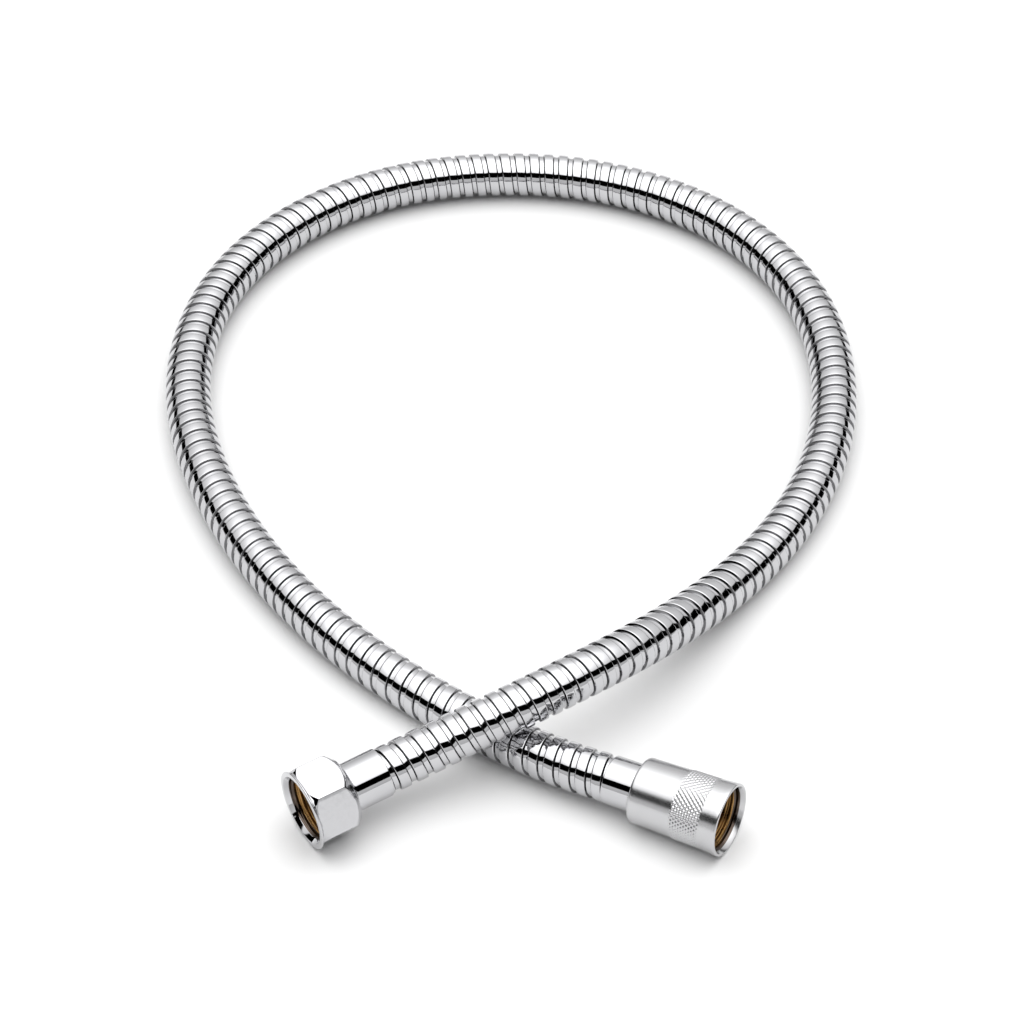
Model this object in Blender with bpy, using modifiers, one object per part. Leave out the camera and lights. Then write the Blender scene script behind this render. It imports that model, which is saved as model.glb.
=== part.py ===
"""Flexible metal shower hose with a hexagon nut at one end and a knurled grip nut at the other.

The hose lies on the floor in a loop and passes over itself near its ends.
Metres, +Z up, floor at Z = 0. The photo's camera looks along +Y from above.
"""

import math

import bpy
import numpy as np
from mathutils import Matrix, Vector

MM = 0.001
GAP = 0.3 * MM

# Hose
HOSE_DIAMETER = 15.5 * MM
HOSE_RADIUS = HOSE_DIAMETER / 2
ARMOUR_WALL = 1.0 * MM
CRIMPED_RADIUS = 7.1 * MM
LINER_RADIUS = CRIMPED_RADIUS - ARMOUR_WALL - GAP
LINER_WALL = 1.4 * MM
HOSE_STEPS = 74
SWAGE_LENGTH = 5.0 * MM

# Size of the loop on the floor, measured along the hose's middle line
LOOP_WIDTH = 220.5 * MM
LOOP_LENGTH = 323.0 * MM

# The hose's middle line between its two ferrules, from the hexagon nut's end
# to the grip nut's end, in millimetres for a loop and a hose of the sizes above.
# It was read from the photo by hand, and follows those sizes when they change.
ROUTE_LOOP = (220.5, 323.0)
ROUTE_DIAMETER = 15.5
ROUTE = [
    (-26.1, -135.8, 17.3), (-1.5, -125.7, 24.1), (21.7, -111.9, 26.3), (41.2, -93.6, 22.1), (57.2, -72.9, 14.9),
    (72.6, -51.4, 9.0), (88.0, -29.3, 7.75), (99.9, -5.7, 7.75), (107.5, 19.7, 7.75), (110.3, 46.1, 7.75),
    (108.4, 72.6, 7.75), (101.0, 98.1, 7.75), (87.6, 121.0, 7.75), (69.0, 140.0, 7.75), (46.0, 153.5, 7.75),
    (20.5, 161.1, 7.75), (-6.1, 162.7, 7.75), (-32.5, 158.7, 7.75), (-57.1, 148.4, 7.75), (-78.3, 132.2, 7.75),
    (-94.9, 111.2, 7.75), (-105.6, 86.7, 7.75), (-110.2, 60.3, 7.75), (-109.2, 33.5, 7.75), (-103.3, 7.3, 7.75),
    (-93.7, -17.8, 7.75), (-81.1, -41.6, 7.75), (-65.8, -63.7, 7.75), (-48.1, -84.0, 7.75), (-28.2, -102.2, 7.75),
    (-6.7, -118.6, 8.0), (15.6, -133.7, 9.5)]

# Where each nut's mouth sits in the route's own millimetres, and which way its axis runs into the hose.
# The hexagon is rolled a little towards the camera.
HEX_MOUTH_SPOT = (-64.55, -157.87)
HEX_YAW = math.radians(31.0)
HEX_RISE = math.radians(3.8)
HEX_ROLL = math.radians(5.4)
GRIP_MOUTH_SPOT = (67.4, -160.59)
GRIP_YAW = math.radians(152.45)
GRIP_RISE = math.radians(-2.2)

# Threaded bore, washer and flange, the same at both ends. Depths run from the mouth.
BORE_RADIUS = 10.0 * MM
BORE_DEPTH = 12.8 * MM
MOUTH_CHAMFER = 1.3 * MM
EDGE_ROUND = 0.5 * MM
NUT_WALL = 2.6 * MM
WASHER_THICKNESS = 2.0 * MM
WASHER_HOLE_RADIUS = 5.5 * MM
FLANGE_RADIUS = BORE_RADIUS - 0.7 * MM
FLANGE_THICKNESS = 2.0 * MM
FLANGE_BACK = BORE_DEPTH - GAP
FLANGE_FRONT = FLANGE_BACK - FLANGE_THICKNESS
WASHER_BACK = FLANGE_FRONT - GAP
NECK_RADIUS = 6.5 * MM
NECK_HOLE_RADIUS = NECK_RADIUS + 0.5 * MM
NUT_BACK = BORE_DEPTH + NUT_WALL
FERRULE_FRONT = NUT_BACK + 0.6 * MM
FERRULE_END_WALL = 1.5 * MM
NECK_BACK = FERRULE_FRONT + FERRULE_END_WALL
HOSE_START = NECK_BACK + GAP
TAIL_RADIUS = LINER_RADIUS - LINER_WALL - 0.5 * MM
TAIL_BACK = 28.5 * MM
WATERWAY_RADIUS = 3.0 * MM
FERRULE_BORE_RADIUS = CRIMPED_RADIUS + GAP
FERRULE_LIP = 0.4 * MM

# Hexagon nut
HEX_ACROSS_FLATS = 24.2 * MM
HEX_CORNER_RADIUS = HEX_ACROSS_FLATS / math.sqrt(3)
HEX_LIP_RADIUS = HEX_ACROSS_FLATS / 2 + 1.1 * MM
HEX_LIP_LENGTH = 1.1 * MM
HEX_MOUTH_HEIGHT = HEX_LIP_RADIUS + 0.05 * MM
HEX_SHOULDER_RADIUS = HEX_ACROSS_FLATS / 2 + 0.4 * MM
HEX_OPENING_RADIUS = BORE_RADIUS + 1.45 * MM
HEX_BACK_RADIUS = HEX_ACROSS_FLATS / 2 - 1.0 * MM
HEX_CORNER_FRONT = 2.2 * MM
HEX_CORNER_BACK = NUT_BACK - 3.7 * MM
HEX_FERRULE_RADIUS = FERRULE_BORE_RADIUS + 0.65 * MM
HEX_FERRULE_BACK = 28.6 * MM

# Grip nut
GRIP_LENGTH = 30.8 * MM
GRIP_LIP_RADIUS = 11.8 * MM
GRIP_LIP_LENGTH = 1.6 * MM
GRIP_MOUTH_HEIGHT = GRIP_LIP_RADIUS + 0.05 * MM
GRIP_FRONT_RADIUS = 11.4 * MM
GRIP_KNURL_RADIUS = 11.2 * MM
GRIP_OPENING_RADIUS = BORE_RADIUS + 1.0 * MM
GRIP_FERRULE_RADIUS = FERRULE_BORE_RADIUS + 0.45 * MM
GRIP_FERRULE_BACK = 41.0 * MM
GRIP_SOCKET_RADIUS = GRIP_FERRULE_RADIUS + 0.75 * MM
GRIP_BACK_RADIUS = GRIP_SOCKET_RADIUS + 2.05 * MM
KNURL_FRONT = 6.1 * MM
KNURL_BACK = 16.1 * MM

TURNED_STEPS = 48


def clear_scene():
    for obj in list(bpy.data.objects):
        bpy.data.objects.remove(obj, do_unlink=True)


def make_collection(name, hidden=False):
    collection = bpy.data.collections.new(name)
    bpy.context.scene.collection.children.link(collection)
    collection.hide_render = hidden
    return collection


def make_material(name, colour, roughness, metallic):
    material = bpy.data.materials.new(name)
    material.use_nodes = True
    shader = material.node_tree.nodes["Principled BSDF"]
    shader.inputs["Base Color"].default_value = (*colour, 1.0)
    shader.inputs["Roughness"].default_value = roughness
    shader.inputs["Metallic"].default_value = metallic
    material.diffuse_color = (*colour, 1.0)
    return material


def axis_of(yaw, rise):
    """Unit vector from a nut's mouth into the hose."""
    level = math.cos(rise)
    return Vector((level * math.cos(yaw), level * math.sin(yaw), math.sin(rise)))


def on_the_floor(spot, height):
    """A place given in the route's own millimetres, fitted to the loop's named width and length."""
    across = spot[0] * LOOP_WIDTH / ROUTE_LOOP[0]
    along = spot[1] * LOOP_LENGTH / ROUTE_LOOP[1]
    return Vector((across, along, height))


def end_matrix(mouth, axis):
    """Frame of one end: its origin in the nut's mouth, Z into the hose, Y as near up as it can be."""
    side = Vector((0, 0, 1)).cross(axis).normalized()
    up = axis.cross(side)
    turn = Matrix((side, up, axis)).transposed()
    return Matrix.Translation(mouth) @ turn.to_4x4()


def hex_place():
    """The hexagon nut's mouth, and its axis into the hose."""
    return on_the_floor(HEX_MOUTH_SPOT, HEX_MOUTH_HEIGHT), axis_of(HEX_YAW, HEX_RISE)


def grip_place():
    """The grip nut's mouth, and its axis into the hose."""
    return on_the_floor(GRIP_MOUTH_SPOT, GRIP_MOUTH_HEIGHT), axis_of(GRIP_YAW, GRIP_RISE)


def smooth_through(points, count):
    """Points at even steps along the natural cubic curve through the given ones."""
    points = np.array(points, float)
    steps = np.linalg.norm(np.diff(points, axis=0), axis=1)
    knots = np.concatenate([[0.0], np.cumsum(steps)])
    size = len(points)
    system = np.eye(size)
    right = np.zeros((size, 3))
    for k in range(1, size - 1):
        before = knots[k] - knots[k - 1]
        after = knots[k + 1] - knots[k]
        system[k, k - 1:k + 2] = (before, 2 * (before + after), after)
        rise_after = (points[k + 1] - points[k]) / after
        rise_before = (points[k] - points[k - 1]) / before
        right[k] = 6 * (rise_after - rise_before)
    bends = np.linalg.solve(system, right)

    def at(place):
        k = min(int(np.searchsorted(knots, place, side="right")) - 1, size - 2)
        span = knots[k + 1] - knots[k]
        to_next = (knots[k + 1] - place) / span
        from_last = (place - knots[k]) / span
        straight = points[k] * to_next + points[k + 1] * from_last
        curve = (to_next ** 3 - to_next) * bends[k] + (from_last ** 3 - from_last) * bends[k + 1]
        return straight + curve * span ** 2 / 6

    fine = np.array([at(place) for place in np.linspace(0, knots[-1], 3000)])
    along = np.concatenate([[0.0], np.cumsum(np.linalg.norm(np.diff(fine, axis=0), axis=1))])
    places = np.linspace(0, along[-1], count)
    return np.column_stack([np.interp(places, along, fine[:, k]) for k in range(3)]), along[-1]


def hose_route():
    """Points along the whole hose, from inside one ferrule to inside the other, and its length."""
    hex_mouth, hex_axis = hex_place()
    grip_mouth, grip_axis = grip_place()
    start = [hex_mouth + hex_axis * float(depth) for depth in np.linspace(HOSE_START, HEX_FERRULE_BACK, 3)]
    finish = [grip_mouth + grip_axis * float(depth) for depth in np.linspace(GRIP_FERRULE_BACK, HOSE_START, 4)]
    middle = [on_the_floor(point, point[2] * HOSE_DIAMETER / ROUTE_DIAMETER) for point in ROUTE]
    return smooth_through([tuple(point) for point in start + middle + finish], HOSE_STEPS)


def crimp_share(place, length):
    """How far the hose is squeezed at this place: 1 inside a ferrule, 0 along the free hose."""
    into_hex = HEX_FERRULE_BACK - HOSE_START - place
    into_grip = place - (length - (GRIP_FERRULE_BACK - HOSE_START))
    inside = max(into_hex, into_grip)
    return min(max(1 + inside / SWAGE_LENGTH, 0.0), 1.0)


def make_tube(name, points, radii, sides, wall, material, collection):
    """A hollow tube along the points: an open curve with a round bevel, thickened inwards."""
    curve = bpy.data.curves.new(name, "CURVE")
    curve.dimensions = "3D"
    curve.twist_mode = "Z_UP"
    curve.bevel_depth = 1.0
    curve.bevel_resolution = (sides - 4) // 2
    spline = curve.splines.new("POLY")
    spline.points.add(len(points) - 1)
    for point, place, radius in zip(spline.points, points, radii):
        point.co = (*place, 1.0)
        point.radius = radius
    spline.use_smooth = True
    obj = bpy.data.objects.new(name, curve)
    collection.objects.link(obj)
    curve.materials.append(material)
    solidify = obj.modifiers.new("Wall", "SOLIDIFY")
    solidify.thickness = wall
    solidify.offset = -1.0
    solidify.use_even_offset = True
    return obj


def turn_profile(name, profile, material, collection, steps=TURNED_STEPS):
    """A turned piece from a closed outline of (radius, depth) pairs, its outer side running top to bottom."""
    mesh = bpy.data.meshes.new(name)
    vertices = [(radius, 0.0, depth) for radius, depth in profile]
    edges = [(k, (k + 1) % len(profile)) for k in range(len(profile))]
    mesh.from_pydata(vertices, edges, [])
    mesh.materials.append(material)
    obj = bpy.data.objects.new(name, mesh)
    collection.objects.link(obj)
    screw = obj.modifiers.new("Turn", "SCREW")
    screw.axis = "Z"
    screw.angle = math.tau
    screw.steps = steps
    screw.render_steps = steps
    screw.use_merge_vertices = False
    screw.use_smooth_shade = True
    return obj


def washer_profile():
    front = WASHER_BACK - WASHER_THICKNESS
    return [
        (FLANGE_RADIUS, WASHER_BACK), (FLANGE_RADIUS, front), (WASHER_HOLE_RADIUS, front),
        (WASHER_HOLE_RADIUS, WASHER_BACK)]


def insert_profile():
    """Flange, neck and barbed tail with a waterway through them."""
    rows = [(WATERWAY_RADIUS, TAIL_BACK), (TAIL_RADIUS - 0.6 * MM, TAIL_BACK)]
    barb = TAIL_BACK - 3 * MM
    while barb > NECK_BACK + 2 * MM:
        rows += [(TAIL_RADIUS, barb), (TAIL_RADIUS - 0.5 * MM, barb - 0.3 * MM)]
        barb -= 3 * MM
    rows += [(TAIL_RADIUS - 0.5 * MM, NECK_BACK), (NECK_RADIUS, NECK_BACK), (NECK_RADIUS, FLANGE_BACK)]
    rows += [(FLANGE_RADIUS, FLANGE_BACK), (FLANGE_RADIUS, FLANGE_FRONT), (WATERWAY_RADIUS, FLANGE_FRONT)]
    return rows


def ferrule_profile(radius, back):
    """Crimp sleeve: an end wall round the insert's neck, and a thin skirt over the hose."""
    neck = NECK_RADIUS + GAP
    edge = FERRULE_LIP
    return [
        (FERRULE_BORE_RADIUS, back), (radius - edge, back), (radius, back - edge), (radius, FERRULE_FRONT + edge),
        (radius - edge, FERRULE_FRONT), (neck, FERRULE_FRONT), (neck, NECK_BACK), (FERRULE_BORE_RADIUS, NECK_BACK)]


def hex_nut_profile():
    """Outline the hexagon is cut back to: round lip, front chamfer, back chamfer, wall and threaded bore."""
    outside = HEX_CORNER_RADIUS + 0.4 * MM
    return [
        (NECK_HOLE_RADIUS, NUT_BACK), (HEX_BACK_RADIUS, NUT_BACK), (HEX_CORNER_RADIUS, HEX_CORNER_BACK),
        (outside, HEX_CORNER_BACK - 0.6 * MM), (outside, HEX_CORNER_FRONT + 0.35 * MM),
        (HEX_CORNER_RADIUS, HEX_CORNER_FRONT), (HEX_SHOULDER_RADIUS, HEX_LIP_LENGTH + 0.1 * MM),
        (HEX_LIP_RADIUS, HEX_LIP_LENGTH - 0.2 * MM), (HEX_LIP_RADIUS, EDGE_ROUND),
        (HEX_LIP_RADIUS - EDGE_ROUND, 0.0), (HEX_OPENING_RADIUS, 0.0), (BORE_RADIUS, MOUTH_CHAMFER),
        (BORE_RADIUS, BORE_DEPTH), (NECK_HOLE_RADIUS, BORE_DEPTH)]


def grip_nut_profile():
    back_round = 1.2 * MM
    rows = [(GRIP_SOCKET_RADIUS, GRIP_LENGTH), (GRIP_BACK_RADIUS - back_round * 0.7, GRIP_LENGTH)]
    for share in (0.25, 0.6, 1.0):
        turn = share * math.pi / 2
        radius = GRIP_BACK_RADIUS - back_round * 0.7 * (1 - math.sin(turn))
        rows.append((radius, GRIP_LENGTH - back_round * (1 - math.cos(turn))))
    rows += [
        (GRIP_KNURL_RADIUS - 0.25 * MM, KNURL_BACK + 0.1 * MM), (GRIP_KNURL_RADIUS, KNURL_BACK),
        (GRIP_KNURL_RADIUS + 0.1 * MM, KNURL_FRONT), (GRIP_FRONT_RADIUS, KNURL_FRONT - 0.1 * MM),
        (GRIP_LIP_RADIUS, GRIP_LIP_LENGTH), (GRIP_LIP_RADIUS, EDGE_ROUND), (GRIP_LIP_RADIUS - EDGE_ROUND, 0.0),
        (GRIP_OPENING_RADIUS, 0.0), (BORE_RADIUS, MOUTH_CHAMFER), (BORE_RADIUS, BORE_DEPTH),
        (NECK_HOLE_RADIUS, BORE_DEPTH), (NECK_HOLE_RADIUS, NUT_BACK), (GRIP_SOCKET_RADIUS, NUT_BACK)]
    return rows


def hexagon_reach(angle):
    """Distance from the axis to the hexagon's side, at an angle taken from straight up when the roll is zero."""
    off = (angle - HEX_ROLL + math.pi / 6) % (math.pi / 3) - math.pi / 6
    return HEX_ACROSS_FLATS / 2 / math.cos(off)


def hexagon_bar():
    """A hexagonal bar with a wider round head, which leaves the nut's lip uncut."""
    angles = [HEX_ROLL + math.radians(30) + k * math.tau / TURNED_STEPS for k in range(TURNED_STEPS)]
    head = [HEX_CORNER_RADIUS + 2 * MM] * TURNED_STEPS
    flats = [hexagon_reach(angle - math.pi / 2) for angle in angles]
    join = HEX_LIP_LENGTH
    vertices = []
    for reaches, depth in ((head, -2 * MM), (head, join), (flats, join), (flats, NUT_BACK + 2 * MM)):
        for reach, angle in zip(reaches, angles):
            vertices.append((reach * math.cos(angle), reach * math.sin(angle), depth))
    faces = []
    for row in range(3):
        for k in range(TURNED_STEPS):
            after = (k + 1) % TURNED_STEPS
            first = row * TURNED_STEPS
            faces.append((first + k, first + after, first + TURNED_STEPS + after, first + TURNED_STEPS + k))
    faces.append(tuple(reversed(range(TURNED_STEPS))))
    faces.append(tuple(range(3 * TURNED_STEPS, 4 * TURNED_STEPS)))
    mesh = bpy.data.meshes.new("hex_bar")
    mesh.from_pydata(vertices, [], faces)
    return bpy.data.objects.new("hex_bar", mesh)


def cut_to_hexagon(nut, cutters):
    """Keeps only what lies inside the hexagonal bar."""
    bar = hexagon_bar()
    cutters.objects.link(bar)
    bar.hide_render = True
    bar.display_type = "WIRE"
    boolean = nut.modifiers.new("Hexagon", "BOOLEAN")
    boolean.operation = "INTERSECT"
    boolean.solver = "EXACT"
    boolean.object = bar
    return bar


def make_end(name, place, ferrule_radius, ferrule_back, materials, parts):
    """The fixed pieces of one end: ferrule, insert and washer."""
    frame = end_matrix(*place)
    pieces = [
        turn_profile(name + "_ferrule", ferrule_profile(ferrule_radius, ferrule_back), materials["chrome"], parts),
        turn_profile(name + "_insert", insert_profile(), materials["brass"], parts, 32),
        turn_profile(name + "_washer", washer_profile(), materials["rubber"], parts, 32)]
    for piece in pieces:
        piece.matrix_world = frame
    return frame


def build():
    clear_scene()
    parts = make_collection("flexible_hose")
    cutters = make_collection("cutters", hidden=True)
    materials = {
        "chrome": make_material("chrome", (0.78, 0.78, 0.80), 0.08, 1.0),
        "armour": make_material("armour_chrome", (0.76, 0.76, 0.78), 0.12, 1.0),
        "nut": make_material("satin_chrome", (0.74, 0.74, 0.76), 0.16, 1.0),
        "brass": make_material("brass", (0.62, 0.44, 0.20), 0.30, 1.0),
        "rubber": make_material("rubber", (0.03, 0.03, 0.03), 0.80, 0.0),
        "liner": make_material("liner_plastic", (0.75, 0.75, 0.72), 0.50, 0.0)}

    points, length = hose_route()
    places = np.linspace(0, length, len(points))
    squeeze = [crimp_share(place, length) for place in places]
    armour_radii = [HOSE_RADIUS + (CRIMPED_RADIUS - HOSE_RADIUS) * share for share in squeeze]
    liner_radii = [LINER_RADIUS] * len(points)
    make_tube("hose_armour", points, armour_radii, 12, ARMOUR_WALL, materials["armour"], parts)
    make_tube("hose_liner", points, liner_radii, 8, LINER_WALL, materials["liner"], parts)

    hex_frame = make_end("hex", hex_place(), HEX_FERRULE_RADIUS, HEX_FERRULE_BACK, materials, parts)
    grip_frame = make_end("grip", grip_place(), GRIP_FERRULE_RADIUS, GRIP_FERRULE_BACK, materials, parts)

    hex_nut = turn_profile("hex_nut", hex_nut_profile(), materials["chrome"], parts)
    bar = cut_to_hexagon(hex_nut, cutters)
    hex_nut.matrix_world = hex_frame
    bar.matrix_world = hex_frame @ bar.matrix_world
    grip_nut = turn_profile("grip_nut", grip_nut_profile(), materials["nut"], parts)
    grip_nut.matrix_world = grip_frame
    bpy.context.view_layer.update()
    print("hose length between its cut ends, mm:", round(length / MM, 1))


if __name__ == "__main__":
    build()
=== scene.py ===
import math

import bmesh
import bpy
import numpy as np
from mathutils import Matrix, Vector


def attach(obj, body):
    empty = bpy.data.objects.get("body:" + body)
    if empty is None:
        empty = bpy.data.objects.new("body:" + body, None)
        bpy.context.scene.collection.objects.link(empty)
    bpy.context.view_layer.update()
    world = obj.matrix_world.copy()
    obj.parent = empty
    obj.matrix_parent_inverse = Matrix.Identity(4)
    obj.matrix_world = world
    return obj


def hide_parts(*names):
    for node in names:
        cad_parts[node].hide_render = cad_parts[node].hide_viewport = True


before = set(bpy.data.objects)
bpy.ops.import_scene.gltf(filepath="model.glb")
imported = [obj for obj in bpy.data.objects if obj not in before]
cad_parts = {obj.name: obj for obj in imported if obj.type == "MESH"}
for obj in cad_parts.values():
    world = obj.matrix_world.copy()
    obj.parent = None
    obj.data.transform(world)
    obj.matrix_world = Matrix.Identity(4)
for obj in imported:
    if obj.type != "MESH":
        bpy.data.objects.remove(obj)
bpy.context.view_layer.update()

bl_info = {
    "name": "Flexible metal hose",
    "version": (1, 0, 0),
    "blender": (4, 5, 0),
    "location": "3D View > Sidebar > Hose",
    "description": "Dresses a flexible metal hose, its hexagon nut and its knurled grip nut",
    "category": "Object",
}

MM = 0.001

# The hose's middle line between its ferrules, in metres, as the CAD source lays it
ROUTE = [
    (-0.0261, -0.1358, 0.0173), (-0.0015, -0.1257, 0.0241), (0.0217, -0.1119, 0.0263), (0.0412, -0.0936, 0.0221),
    (0.0572, -0.0729, 0.0149), (0.0726, -0.0514, 0.0090), (0.0880, -0.0293, 0.00775), (0.0999, -0.0057, 0.00775),
    (0.1075, 0.0197, 0.00775), (0.1103, 0.0461, 0.00775), (0.1084, 0.0726, 0.00775), (0.1010, 0.0981, 0.00775),
    (0.0876, 0.1210, 0.00775), (0.0690, 0.1400, 0.00775), (0.0460, 0.1535, 0.00775), (0.0205, 0.1611, 0.00775),
    (-0.0061, 0.1627, 0.00775), (-0.0325, 0.1587, 0.00775), (-0.0571, 0.1484, 0.00775), (-0.0783, 0.1322, 0.00775),
    (-0.0949, 0.1112, 0.00775), (-0.1056, 0.0867, 0.00775), (-0.1102, 0.0603, 0.00775), (-0.1092, 0.0335, 0.00775),
    (-0.1033, 0.0073, 0.00775), (-0.0937, -0.0178, 0.00775), (-0.0811, -0.0416, 0.00775), (-0.0658, -0.0637, 0.00775),
    (-0.0481, -0.0840, 0.00775), (-0.0282, -0.1022, 0.00775), (-0.0067, -0.1186, 0.0080), (0.0156, -0.1337, 0.0095)]

# Each nut's mouth, and its axis from there into the hose
HEX_MOUTH = Vector((-0.06455, -0.15787, 0.01325))
HEX_TURN = (math.radians(31.0), math.radians(3.8))
HEX_ROLL = math.radians(5.4)
GRIP_MOUTH = Vector((0.0674, -0.16059, 0.01185))
GRIP_TURN = (math.radians(152.45), math.radians(-2.2))

# Depths along those axes
HOSE_START = 17.8 * MM
HEX_FERRULE_BACK = 28.6 * MM
GRIP_FERRULE_BACK = 41.0 * MM
FERRULE_FRONT = 16.0 * MM
NECK_BACK = 17.5 * MM

# How far the winding has turned, and the place along the hose in millimetres where it has: the turns lie
# closer on the inside of a bend and near the ends
WINDING = [
    (-33.2, 0), (-30.89, 12.7), (-27.89, 30.5), (-24.89, 46.7), (-21.89, 61.4), (-18.89, 75.9), (-15.89, 91.1),
    (-12.89, 108), (-9.89, 126.9), (-6.9, 145.9), (-3.91, 164.3), (-0.92, 179.3), (0.08, 184.7), (5.06, 208.7),
    (10.03, 233.6), (16.99, 267.6), (21.96, 292.6), (28.91, 330.5), (33.89, 356.4), (38.87, 381.4),
    (53.46, 458.3), (58.46, 483.2), (63.47, 509.2), (68.48, 534.2), (73.5, 560.2), (82.55, 604.1),
    (87.59, 630.2), (92.62, 656.1), (97.65, 683.1), (102.66, 710.1), (107.68, 736.1), (112.69, 762),
    (117.7, 789), (118.7, 795.4), (120.7, 806.5), (122.7, 817.8), (128.7, 848.9), (130.7, 859.6),
    (132.7, 870.4), (138.16, 899.9)]

# Counts of points round the strip and along its winding's middle line
STRIP_AROUND = 40
ROUTE_POINTS = 4000

# How much of the steps between the bands is pressed flat under a ferrule
CRIMP_FLATTENING = 0.3

# The strip's inner wall
STRIP_BORE = 6.05 * MM
BORE_AROUND = 20
BORE_ROWS = 240

# Where in one turn's profile the seams between the bands begin and end, and the pairs of places their faces join. The
# seam faces are painted dark as shade in the crevices between the bands
SEAM_EDGES = (0, 6, 8, 10)
SHADED_SEAM_FACES = ([6, 7], [7, 8], [10, 11], [0, 11])

# The nuts' bores
NUT_HOLE_RADIUS = 7.0 * MM
NUT_SHELF_DEPTH = 12.8 * MM
THREAD_ROOT = 10.35 * MM
THREAD_CREST = 9.6 * MM
THREAD_BACK = 11.5 * MM
# Down to this depth the bore's first threads are painted dark as shade inside the mouth
SHADED_THREAD_DEPTH = 3.5 * MM

# The grip nut's knurling
KNURL_FRONT = 6.1 * MM
KNURL_BACK = 16.1 * MM
KNURL_ROWS = 53
KNURL_FADE = 0.25 * MM
DIAMONDS = 48
DIAMOND_LENGTH = 1.80 * MM
GRIP_AROUND = 384

CAMERA_EYE = Vector((0.0003, -1.1114, 1.0215))
CAMERA_TARGET = Vector((0.0003, -0.0082, 0.0))
SENSOR_WIDTH = 36
CAMERA_LENS = SENSOR_WIDTH * 4500 / 1024


def length_property(name, description, value):
    return bpy.props.FloatProperty(
        name=name, description=description, default=value, min=0.0, unit="LENGTH", precision=5)


def share_property(name, description, value):
    return bpy.props.FloatProperty(
        name=name, description=description, default=value, min=0.0, max=1.0, subtype="FACTOR")


def colour_property(name, description, value):
    return bpy.props.FloatVectorProperty(
        name=name, description=description, default=value, size=3, min=0.0, max=1.0, subtype="COLOR")


class HoseArmourSizes(bpy.types.PropertyGroup):
    diameter: length_property("Diameter", "Over the raised bands of the strip", 15.5 * MM)
    crimped: length_property("Crimped diameter", "Over the raised bands inside a ferrule", 14.2 * MM)
    pitch: length_property("Pitch", "Usual length that one turn of the strip takes along the hose", 5.31 * MM)
    step: length_property("Step", "How far the narrow band lies below the wide one", 0.75 * MM)
    wide_share: share_property("Wide band", "Share of the pitch that the raised band takes", 0.60)


class HoseNutSizes(bpy.types.PropertyGroup):
    across_flats: length_property("Across flats", "Between opposite flats of the hexagon nut", 24.2 * MM)
    hex_length: length_property("Hexagon nut length", "From its mouth to its back", 15.4 * MM)
    grip_length: length_property("Grip nut length", "From its mouth to its back", 30.8 * MM)
    grip_diameter: length_property("Grip nut diameter", "Over its lip", 23.6 * MM)
    thread_pitch: length_property("Thread pitch", "Fourteen turns an inch", 1.814 * MM)
    knurl_depth: length_property("Knurl depth", "From the tips of the diamonds to their grooves", 0.42 * MM)


class HoseFinishes(bpy.types.PropertyGroup):
    chrome: colour_property("Chrome", "Polished plating of the ferrules and the hexagon nut", (0.55, 0.55, 0.565))
    armour: colour_property("Armour", "Plating of the wound strip", (0.55, 0.55, 0.565))
    # The seam colour is painted shade: it darkens the crevices between the strip's bands
    seam: colour_property("Seam", "Shaded seams between the strip's bands", (0.14, 0.14, 0.145))
    satin: colour_property("Satin chrome", "Plating of the grip nut", (0.55, 0.55, 0.56))
    brass: colour_property("Brass", "Bare metal in the bores", (0.44, 0.25, 0.09))
    # This colour is painted shade: it darkens the first threads inside each nut's mouth
    thread_shade: colour_property("Stained brass", "The bores' first threads", (0.11, 0.085, 0.07))
    rubber: colour_property("Rubber", "Washers", (0.02, 0.02, 0.02))
    liner: colour_property("Liner", "Inner tube", (0.70, 0.70, 0.66))


class HoseStudio(bpy.types.PropertyGroup):
    light: bpy.props.FloatProperty(name="Light", description="Strength of the studio's light", default=1.0, min=0.0)
    floor: colour_property("Floor", "Colour of the floor", (0.80, 0.80, 0.80))
    backdrop: colour_property("Backdrop", "Colour behind the floor's far edge", (1.0, 1.0, 1.0))


def axis_of(turn):
    yaw, rise = turn
    return Vector((math.cos(rise) * math.cos(yaw), math.cos(rise) * math.sin(yaw), math.sin(rise)))


def end_matrix(mouth, turn):
    """Frame of one end: origin in the mouth, Z into the hose, Y as near up as it can be."""
    axis = axis_of(turn)
    side = Vector((0, 0, 1)).cross(axis).normalized()
    up = axis.cross(side)
    return Matrix.Translation(mouth) @ Matrix((side, up, axis)).transposed().to_4x4()


def smooth_through(points, count):
    """Points at even steps along the natural cubic curve through the given ones, and its length."""
    points = np.array(points, float)
    knots = np.concatenate([[0.0], np.cumsum(np.linalg.norm(np.diff(points, axis=0), axis=1))])
    size = len(points)
    system = np.eye(size)
    right = np.zeros((size, 3))
    for k in range(1, size - 1):
        before = knots[k] - knots[k - 1]
        after = knots[k + 1] - knots[k]
        system[k, k - 1:k + 2] = (before, 2 * (before + after), after)
        right[k] = 6 * ((points[k + 1] - points[k]) / after - (points[k] - points[k - 1]) / before)
    bends = np.linalg.solve(system, right)
    places = np.linspace(0, knots[-1], 6000)
    k = np.clip(np.searchsorted(knots, places, side="right") - 1, 0, size - 2)
    span = (knots[k + 1] - knots[k])[:, None]
    to_next = (knots[k + 1] - places)[:, None] / span
    from_last = (places - knots[k])[:, None] / span
    curve = (to_next ** 3 - to_next) * bends[k] + (from_last ** 3 - from_last) * bends[k + 1]
    fine = points[k] * to_next + points[k + 1] * from_last + curve * span ** 2 / 6
    along = np.concatenate([[0.0], np.cumsum(np.linalg.norm(np.diff(fine, axis=0), axis=1))])
    even = np.linspace(0, along[-1], count)
    return np.column_stack([np.interp(even, along, fine[:, k]) for k in range(3)]), along[-1]


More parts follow.
